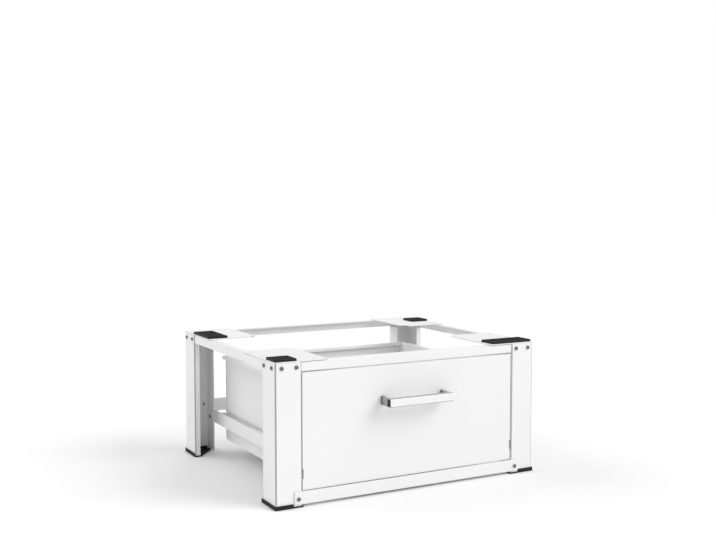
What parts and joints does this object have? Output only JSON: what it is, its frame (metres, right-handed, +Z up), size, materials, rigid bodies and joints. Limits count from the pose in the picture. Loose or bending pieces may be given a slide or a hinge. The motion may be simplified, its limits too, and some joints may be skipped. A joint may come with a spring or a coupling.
{
  "type": "washer pedestal drawer",
  "caption": "White sheet-steel washing machine pedestal: bolted open frame on rubber boots, with a full-extension storage drawer and a bar handle.",
  "frame": {"origin": "middle of the footprint on the floor, handle and rear bolt heads included", "axes": "+Z up, +X to the right seen from the front, +Y to the rear; the drawer opens towards -Y"},
  "size_m": [0.636, 0.5858, 0.2998],
  "materials": {
    "white_paint": "semi-gloss white powder coat on folded sheet steel",
    "black_rubber": "matt moulded black rubber",
    "zinc_steel": "bright zinc plated steel",
    "bolt_steel": "grey zinc plated bolt heads",
    "satin_metal": "bright satin silver"
  },
  "bodies": {
    "frame": {"leg_front_left": "white_paint", "leg_front_right": "white_paint", "leg_rear_left": "white_paint", "leg_rear_right": "white_paint", "boot_front_left": "black_rubber", "boot_front_right": "black_rubber", "boot_rear_left": "black_rubber", "boot_rear_right": "black_rubber", "corner_plate_front_left": "white_paint", "corner_plate_front_right": "white_paint", "corner_plate_rear_left": "white_paint", "corner_plate_rear_right": "white_paint", "pad_front_left": "black_rubber", "pad_front_right": "black_rubber", "pad_rear_left": "black_rubber", "pad_rear_right": "black_rubber", "top_rail_front": "white_paint", "top_rail_rear": "white_paint", "top_rail_left": "white_paint", "top_rail_right": "white_paint", "lower_front_rail": "white_paint", "rear_cross_rail": "white_paint", "runner_left": "white_paint", "runner_right": "white_paint", "slide_fixed_left": "zinc_steel", "slide_fixed_right": "zinc_steel", "bolt_front_left_face_1": "bolt_steel", "bolt_front_left_face_2": "bolt_steel", "bolt_front_left_side_1": "bolt_steel", "bolt_front_left_side_2": "bolt_steel", "bolt_front_left_cross": "bolt_steel", "bolt_front_right_face_1": "bolt_steel", "bolt_front_right_face_2": "bolt_steel", "bolt_front_right_side_1": "bolt_steel", "bolt_front_right_side_2": "bolt_steel", "bolt_front_right_cross": "bolt_steel", "bolt_rear_left_face_1": "bolt_steel", "bolt_rear_left_face_2": "bolt_steel", "bolt_rear_left_side_1": "bolt_steel", "bolt_rear_left_side_2": "bolt_steel", "bolt_rear_left_cross": "bolt_steel", "bolt_rear_right_face_1": "bolt_steel", "bolt_rear_right_face_2": "bolt_steel", "bolt_rear_right_side_1": "bolt_steel", "bolt_rear_right_side_2": "bolt_steel", "bolt_rear_right_cross": "bolt_steel"},
    "drawer": {"drawer_front": "white_paint", "drawer_rear": "white_paint", "drawer_bottom": "white_paint", "drawer_side_left": "white_paint", "drawer_side_right": "white_paint", "handle": "satin_metal", "slide_drawer_left": "zinc_steel", "slide_drawer_right": "zinc_steel"},
    "left_middle": {"slide_middle_left": "zinc_steel"},
    "right_middle": {"slide_middle_right": "zinc_steel"},
    "left_outer_cage": {"ball_cage_outer_left": "zinc_steel"},
    "right_outer_cage": {"ball_cage_outer_right": "zinc_steel"},
    "left_inner_cage": {"ball_cage_inner_left": "zinc_steel"},
    "right_inner_cage": {"ball_cage_inner_right": "zinc_steel"}
  },
  "joints": [
    {"name": "drawer_slide", "type": "slide", "parent": "frame", "child": "drawer", "axis": [0, -1, 0], "range_m": [0, 0.4]},
    {"name": "left_middle_slide", "type": "slide", "parent": "frame", "child": "left_middle", "axis": [0, -1, 0], "range_m": [0, 0.2]},
    {"name": "right_middle_slide", "type": "slide", "parent": "frame", "child": "right_middle", "axis": [0, -1, 0], "range_m": [0, 0.2]},
    {"name": "left_outer_cage_slide", "type": "slide", "parent": "frame", "child": "left_outer_cage", "axis": [0, -1, 0], "range_m": [0, 0.1]},
    {"name": "right_outer_cage_slide", "type": "slide", "parent": "frame", "child": "right_outer_cage", "axis": [0, -1, 0], "range_m": [0, 0.1]},
    {"name": "left_inner_cage_slide", "type": "slide", "parent": "frame", "child": "left_inner_cage", "axis": [0, -1, 0], "range_m": [0, 0.3]},
    {"name": "right_inner_cage_slide", "type": "slide", "parent": "frame", "child": "right_inner_cage", "axis": [0, -1, 0], "range_m": [0, 0.3]}
  ],
  "couplings": [
    {"joint": "left_middle_slide", "follows": "drawer_slide", "ratio": 0.5},
    {"joint": "right_middle_slide", "follows": "drawer_slide", "ratio": 0.5},
    {"joint": "left_outer_cage_slide", "follows": "drawer_slide", "ratio": 0.25},
    {"joint": "right_outer_cage_slide", "follows": "drawer_slide", "ratio": 0.25},
    {"joint": "left_inner_cage_slide", "follows": "drawer_slide", "ratio": 0.75},
    {"joint": "right_inner_cage_slide", "follows": "drawer_slide", "ratio": 0.75}
  ]
}
